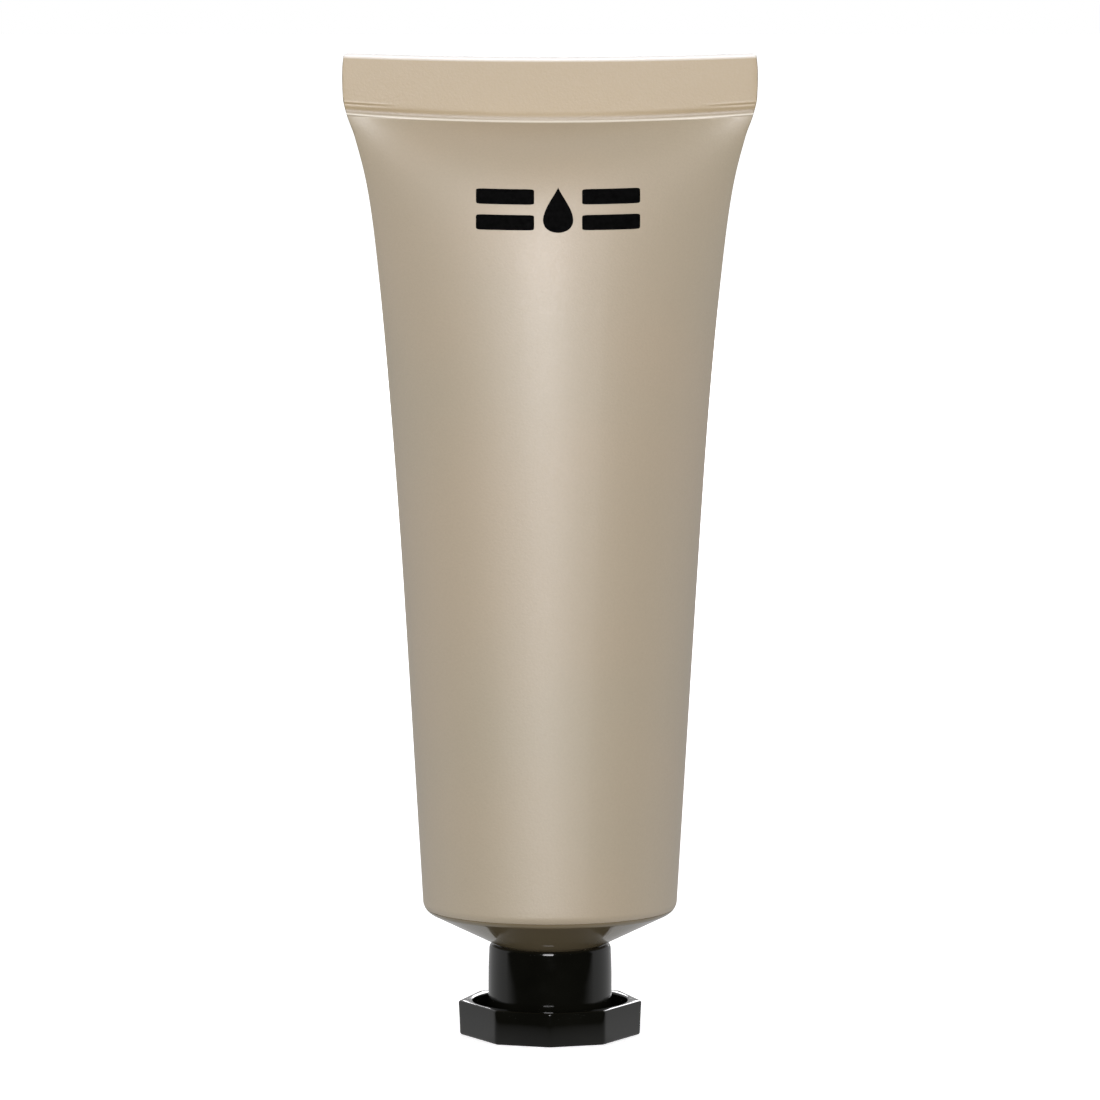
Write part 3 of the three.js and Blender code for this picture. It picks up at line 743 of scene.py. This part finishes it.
# %% [markdown]
# ## Finishes
#
# Each finish is a small tree of nodes on one glossy shader. Noise of two or three sizes varies colour and
# roughness, and a fine bump gives the grain that breaks up the highlight on satin laminate.

# %% Helpers for finishes
NOISE_ROUGHNESS = 0.55


def material(name, colour, roughness, **sockets):
    """A new material with one Principled shader and its constant sockets set."""
    made = bpy.data.materials.new(name)
    made.use_nodes = True
    shader = made.node_tree.nodes["Principled BSDF"]
    shader.inputs["Base Color"].default_value = (*colour, 1)
    shader.inputs["Roughness"].default_value = roughness
    for socket, value in sockets.items():
        shader.inputs[socket.replace("_", " ")].default_value = value
    return made, made.node_tree, shader


def coordinates(tree):
    """The object's own coordinates, in metres."""
    return tree.nodes.new("ShaderNodeTexCoord").outputs["Object"]


def noise(tree, scale, detail):
    """Noise with a number of waves per metre, and a number of finer layers on top."""
    node = tree.nodes.new("ShaderNodeTexNoise")
    node.inputs["Scale"].default_value = scale
    node.inputs["Detail"].default_value = detail
    node.inputs["Roughness"].default_value = NOISE_ROUGHNESS
    tree.links.new(coordinates(tree), node.inputs["Vector"])
    return node.outputs["Fac"]


def remap(tree, value, low, high, start=0.3, end=0.7):
    """Maps a value from start..end to low..high."""
    node = tree.nodes.new("ShaderNodeMapRange")
    for socket, number in (("From Min", start), ("From Max", end), ("To Min", low), ("To Max", high)):
        node.inputs[socket].default_value = number
    tree.links.new(value, node.inputs["Value"])
    return node.outputs["Result"]


def mix_colours(tree, share, first, second):
    """A colour between two, by a share from 0 to 1."""
    node = tree.nodes.new("ShaderNodeMix")
    node.data_type = "RGBA"
    for socket, colour in ((node.inputs[6], first), (node.inputs[7], second)):
        if isinstance(colour, tuple):
            socket.default_value = (*colour, 1)
        else:
            tree.links.new(colour, socket)
    tree.links.new(share, node.inputs[0])
    return node.outputs[2]


def add_bump(tree, shader, heights):
    """Chains bumps: each is a value, its strength and its depth in metres."""
    normal = None
    for value, strength, distance in heights:
        node = tree.nodes.new("ShaderNodeBump")
        node.inputs["Strength"].default_value = strength
        node.inputs["Distance"].default_value = distance
        tree.links.new(value, node.inputs["Height"])
        if normal is not None:
            tree.links.new(normal, node.inputs["Normal"])
        normal = node.outputs["Normal"]
    tree.links.new(normal, shader.inputs["Normal"])


def height_over_arc(tree, rise):
    """Height over an arc that climbs by a rise, in millimetres, from the middle to the side edges."""
    split = tree.nodes.new("ShaderNodeSeparateXYZ")
    tree.links.new(coordinates(tree), split.inputs[0])
    square = tree.nodes.new("ShaderNodeMath")
    square.operation = "MULTIPLY"
    tree.links.new(split.outputs["X"], square.inputs[0])
    tree.links.new(split.outputs["X"], square.inputs[1])
    drop = tree.nodes.new("ShaderNodeMath")
    drop.operation = "MULTIPLY_ADD"
    drop.inputs[1].default_value = -rise / FLAT_HALF_WIDTH**2 / MM
    tree.links.new(square.outputs[0], drop.inputs[0])
    tree.links.new(split.outputs["Z"], drop.inputs[2])
    return drop.outputs[0]


def stripe(tree, height, middle, half_width, strength):
    """Strength on a line at a height in millimetres, falling to 0 at half a width away."""
    node = tree.nodes.new("ShaderNodeMath")
    node.operation = "SUBTRACT"
    node.inputs[1].default_value = middle * MM
    tree.links.new(height, node.inputs[0])
    size = tree.nodes.new("ShaderNodeMath")
    size.operation = "ABSOLUTE"
    tree.links.new(node.outputs[0], size.inputs[0])
    return remap(tree, size.outputs[0], strength, 0, half_width * MM * 0.4, half_width * MM)


# %% [markdown]
# ## Satin laminate
#
# The pearl pigment in the lacquer has a high index, which makes the broad pale sheen, and a thin clear coat
# adds to it along the middle. The band is a deeper tone. The pressed line and the cut edge are paler from a
# painted highlight in the colour, and the groove over the line is darker from painted shade.

# %% Satin laminate
laminate, tree, shader = material("satin_laminate", (0.45, 0.37, 0.255), 0.56, IOR=2.35, Coat_Weight=0.4,
                                  Coat_Roughness=0.34, Coat_IOR=1.5)
clouds = remap(tree, noise(tree, 30, 2), 0, 1)
body_tone = mix_colours(tree, clouds, (0.42, 0.36, 0.255), (0.455, 0.37, 0.257))
speckle = mix_colours(tree, remap(tree, noise(tree, 3800, 2), 0, 0.16), body_tone, (0.3, 0.255, 0.18))
line_height = height_over_arc(tree, LINE_CORNER_RISE)
on_band = remap(tree, line_height, 0, 1, (WELD_HEIGHT + 0.1) * MM, (WELD_HEIGHT + 0.9) * MM)
banded = mix_colours(tree, on_band, speckle, (0.42, 0.325, 0.19))
# Painted shade: the groove over the weld line is darkened in the base colour.
groove = stripe(tree, line_height, WELD_HEIGHT + 0.42, 0.3, 0.75)
with_painted_groove_shade = mix_colours(tree, groove, banded, (0.3, 0.235, 0.15))
# Painted highlight: the pressed weld line is painted pale in place of the light it catches.
painted_line_highlight = stripe(tree, line_height, WELD_HEIGHT + 0.02, 0.19, 0.9)
with_painted_line_highlight = mix_colours(tree, painted_line_highlight, with_painted_groove_shade, (0.84, 0.78, 0.66))
edge_height = height_over_arc(tree, TOP_CORNER_RISE)
# Painted highlight: the cut edge at the top of the band is painted near white.
with_painted_edge_highlight = mix_colours(tree, stripe(tree, edge_height, BAND_TOP, 0.75, 1.0), with_painted_line_highlight, (0.97, 0.95, 0.91))
tree.links.new(with_painted_edge_highlight, shader.inputs["Base Color"])
tree.links.new(remap(tree, noise(tree, 2600, 3), 0.5, 0.62), shader.inputs["Roughness"])
add_bump(tree, shader, [(noise(tree, 3000, 2), 0.5, 0.00005), (noise(tree, 300, 2), 0.1, 0.00008)])

# %% [markdown]
# ## Glossy plastics
#
# Shoulder and cap are moulded against polished steel, so they mirror what is round them. The shoulder is
# the sleeve's colour but deeper, and the cap is nearly black.

# %% Glossy plastics
shoulder_plastic, tree, shader = material("shoulder_gloss_plastic", (0.235, 0.185, 0.11), 0.08, IOR=1.6)
tone = mix_colours(tree, remap(tree, noise(tree, 60, 3), 0, 1), (0.22, 0.175, 0.1), (0.245, 0.195, 0.115))
tree.links.new(tone, shader.inputs["Base Color"])
tree.links.new(remap(tree, noise(tree, 900, 3), 0.05, 0.11), shader.inputs["Roughness"])
add_bump(tree, shader, [(noise(tree, 1500, 2), 0.08, 0.00003)])

cap_plastic, tree, shader = material("cap_black_plastic", (0.006, 0.006, 0.005), 0.08, IOR=1.5)
clouds = remap(tree, noise(tree, 120, 3), 0, 1)
tone = mix_colours(tree, clouds, (0.0022, 0.0022, 0.0015), (0.004, 0.004, 0.0028))
tree.links.new(tone, shader.inputs["Base Color"])
tree.links.new(remap(tree, noise(tree, 500, 4), 0.06, 0.14), shader.inputs["Roughness"])
add_bump(tree, shader, [(noise(tree, 220, 2), 0.1, 0.00005), (noise(tree, 2500, 2), 0.05, 0.00002)])

# %% [markdown]
# ## Ink and the hidden materials
#
# The ink is matt and reflects very little. Foam has pores, foil has fine creases, the insert is plain white
# plastic, and the cream is white with soft lumps.

# %% Ink, foam, foil, insert and cream
ink, tree, shader = material("black_ink", (0.003, 0.003, 0.003), 0.8, IOR=1.12)
tree.links.new(remap(tree, noise(tree, 2500, 2), 0.6, 0.75), shader.inputs["Roughness"])
clouds = remap(tree, noise(tree, 1800, 2), 0, 1)
tone = mix_colours(tree, clouds, (0.001, 0.001, 0.001), (0.003, 0.003, 0.003))
tree.links.new(tone, shader.inputs["Base Color"])

foam, tree, shader = material("liner_white_foam", (0.82, 0.8, 0.74), 0.85)
pores = noise(tree, 2200, 4)
tree.links.new(mix_colours(tree, pores, (0.66, 0.64, 0.58), (0.9, 0.88, 0.82)), shader.inputs["Base Color"])
add_bump(tree, shader, [(pores, 0.6, 0.0001)])

foil_metal, tree, shader = material("seal_foil", (0.78, 0.79, 0.8), 0.28, Metallic=1.0)
tree.links.new(remap(tree, noise(tree, 700, 3), 0.2, 0.38), shader.inputs["Roughness"])
add_bump(tree, shader, [(noise(tree, 500, 3), 0.3, 0.0001), (noise(tree, 3000, 2), 0.2, 0.00004)])

white_plastic, tree, shader = material("insert_white_plastic", (0.85, 0.84, 0.8), 0.4)
tone = mix_colours(tree, remap(tree, noise(tree, 150, 3), 0, 1), (0.8, 0.79, 0.75), (0.88, 0.87, 0.83))
tree.links.new(tone, shader.inputs["Base Color"])
add_bump(tree, shader, [(noise(tree, 1800, 2), 0.15, 0.00003)])

cream_white, tree, shader = material("shaving_cream", (0.93, 0.92, 0.88), 0.45, IOR=1.4)
tone = mix_colours(tree, remap(tree, noise(tree, 300, 4), 0, 1), (0.88, 0.87, 0.83), (0.95, 0.945, 0.91))
tree.links.new(tone, shader.inputs["Base Color"])
add_bump(tree, shader, [(noise(tree, 600, 4), 0.4, 0.0002)])

# %% [markdown]
# ## Which piece moves with what
#
# Everything on the tube rides on its body. The liner only slides with the cap, and the cap turns as well, so
# each rides on its own body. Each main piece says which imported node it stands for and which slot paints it.

# %% Ride, replace, paint
placed = [
    (sleeve, "tube", "laminate_sleeve", "laminate", laminate),
    (shoulder, "tube", "shoulder_head", "shoulder_plastic", shoulder_plastic),
    (insert, "tube", "barrier_insert", "insert_plastic", white_plastic),
    (foil, "tube", "peel_seal", "foil", foil_metal),
    (cream, "tube", "cream_fill", "cream", cream_white),
    (liner, "liner", "cap_liner", "liner_foam", foam),
    (cap, "cap", "screw_cap", "cap_plastic", cap_plastic),
]
for piece, body, node, slot, finish in placed:
    piece.data.materials.append(finish)
    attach(piece, body)
    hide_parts(node)
foil_tab.data.materials.append(foil_metal)
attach(foil_tab, "tube")
for film in prints:
    film.data.materials.append(ink)
    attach(film, "tube")
print("pieces", len(placed) + 1 + len(prints))

# %% [markdown]
# ## Stage, light and camera
#
# The tube stands on a white floor in front of white. The floor looks white to the camera and grows a little
# brighter with distance. In reflections it is bright behind the tube and dark in front of it, as a dark table
# edge would be, so the black cap stays black and gets pale bands at its sides.

# %% Floor
FLOOR_SIZE = 6.0
floor_mesh = bpy.data.meshes.new("studio_floor")
half = FLOOR_SIZE / 2
floor_corners = [(-half, -half, 0), (half, -half, 0), (half, half, 0), (-half, half, 0)]
floor_mesh.from_pydata(floor_corners, [], [(0, 1, 2, 3)])
floor = bpy.data.objects.new("studio_floor", floor_mesh)
bpy.context.collection.objects.link(floor)

floor_paint = bpy.data.materials.new("studio_floor_paint")
floor_paint.use_nodes = True
tree = floor_paint.node_tree
tree.nodes.clear()
seen = tree.nodes.new("ShaderNodeBsdfDiffuse")
seen.inputs["Color"].default_value = (0.9, 0.9, 0.9, 1)
lift = tree.nodes.new("ShaderNodeEmission")
distance = tree.nodes.new("ShaderNodeVectorMath")
distance.operation = "LENGTH"
tree.links.new(coordinates(tree), distance.inputs[0])
tree.links.new(remap(tree, distance.outputs["Value"], 0.6, 1.0, 0.03, 0.4), lift.inputs["Strength"])
seen_sum = tree.nodes.new("ShaderNodeAddShader")
tree.links.new(seen.outputs[0], seen_sum.inputs[0])
tree.links.new(lift.outputs[0], seen_sum.inputs[1])
mirrored = tree.nodes.new("ShaderNodeEmission")
split = tree.nodes.new("ShaderNodeSeparateXYZ")
tree.links.new(coordinates(tree), split.inputs[0])
behind = remap(tree, split.outputs["Y"], 0.012, 0.5, -0.026, -0.006)
tree.links.new(behind, mirrored.inputs["Strength"])
choose = tree.nodes.new("ShaderNodeMixShader")
path = tree.nodes.new("ShaderNodeLightPath")
tree.links.new(path.outputs["Is Camera Ray"], choose.inputs[0])
tree.links.new(mirrored.outputs[0], choose.inputs[1])
tree.links.new(seen_sum.outputs[0], choose.inputs[2])
out = tree.nodes.new("ShaderNodeOutputMaterial")
tree.links.new(choose.outputs[0], out.inputs["Surface"])
floor_mesh.materials.append(floor_paint)

# %% [markdown]
# ## World and lamps
#
# The world is white behind the tube. In reflections it is bright at the sides and behind, and dark in front.
# One softbox in front makes the highlight, one behind shapes the back, and four fill lamps light the flanks
# without showing in the gloss of the cap.

# %% World and lamp
world = bpy.data.worlds.new("studio_white")
bpy.context.scene.world = world
world.use_nodes = True
tree = world.node_tree
tree.nodes.clear()
direction = tree.nodes.new("ShaderNodeTexCoord")
split = tree.nodes.new("ShaderNodeSeparateXYZ")
tree.links.new(direction.outputs["Generated"], split.inputs[0])
glow = remap(tree, split.outputs["Y"], 0.012, 0.5, -0.1, 0.0)
soft = tree.nodes.new("ShaderNodeBackground")
soft.inputs["Color"].default_value = (1, 1, 1, 1)
tree.links.new(glow, soft.inputs["Strength"])
backdrop = tree.nodes.new("ShaderNodeBackground")
backdrop.inputs["Color"].default_value = (1, 1, 1, 1)
backdrop.inputs["Strength"].default_value = 1.0
choose = tree.nodes.new("ShaderNodeMixShader")
path = tree.nodes.new("ShaderNodeLightPath")
tree.links.new(path.outputs["Is Camera Ray"], choose.inputs[0])
tree.links.new(soft.outputs[0], choose.inputs[1])
tree.links.new(backdrop.outputs[0], choose.inputs[2])
out = tree.nodes.new("ShaderNodeOutputWorld")
tree.links.new(choose.outputs[0], out.inputs["Surface"])


def lamp(name, azimuth, elevation, distance, width, height, power, aim_z=0.085, glossy=True):
    """An area lamp on a sphere about the tube, looking at its middle. Azimuth 0 is the front.

    A lamp that isn't glossy lights the surfaces but is left out of their reflections.
    """
    data = bpy.data.lights.new(name, "AREA")
    data.shape = "RECTANGLE"
    data.size, data.size_y, data.energy = width, height, power
    data.color = (1.0, 0.985, 1.01)
    a, e = math.radians(azimuth), math.radians(elevation)
    away = np.array([math.sin(a) * math.cos(e), -math.cos(a) * math.cos(e), math.sin(e)])
    made = bpy.data.objects.new(name, data)
    made.location = tuple(away * distance + [0, 0, aim_z])
    made.rotation_mode = "QUATERNION"
    made.rotation_quaternion = Vector(tuple(-away)).to_track_quat("-Z", "Y")
    made.visible_glossy = glossy
    bpy.context.collection.objects.link(made)
    return made


lamp("front_softbox", -3, 15, 1.3, 0.42, 0.46, 7.4)
lamp("back_softbox", 172, 22, 1.3, 0.5, 0.6, 6.0)
for side in (-1, 1):
    lamp("front_fill", 30 * side, 8, 1.3, 0.5, 0.5, 6.2, glossy=False)
    lamp("side_fill", 75 * side, 22, 1.3, 0.5, 0.6, 2.8, glossy=False)

# %% [markdown]
# ## Camera
#
# A long lens from a good metre away, six degrees above the level, keeps the outline nearly free of
# perspective.

# %% Camera
CAMERA_DISTANCE = 1.2
CAMERA_PITCH = math.radians(6)
VIEW_WIDTH = 0.15098
target = np.array([0.0, 0.0, 0.0671])
camera_data = bpy.data.cameras.new("studio_camera")
camera_data.sensor_width = 36
camera_data.lens = 36 * CAMERA_DISTANCE / VIEW_WIDTH
camera_data.clip_end = 100
camera = bpy.data.objects.new("studio_camera", camera_data)
toward_camera = np.array([0, -math.cos(CAMERA_PITCH), math.sin(CAMERA_PITCH)])
camera.location = tuple(target + CAMERA_DISTANCE * toward_camera)
camera.rotation_euler = (math.pi / 2 - CAMERA_PITCH, 0, 0)
bpy.context.collection.objects.link(camera)
bpy.context.scene.camera = camera
bpy.context.scene.view_settings.view_transform = "Standard"
print(f"camera {CAMERA_DISTANCE} m away, {math.degrees(CAMERA_PITCH):.0f} degrees up")
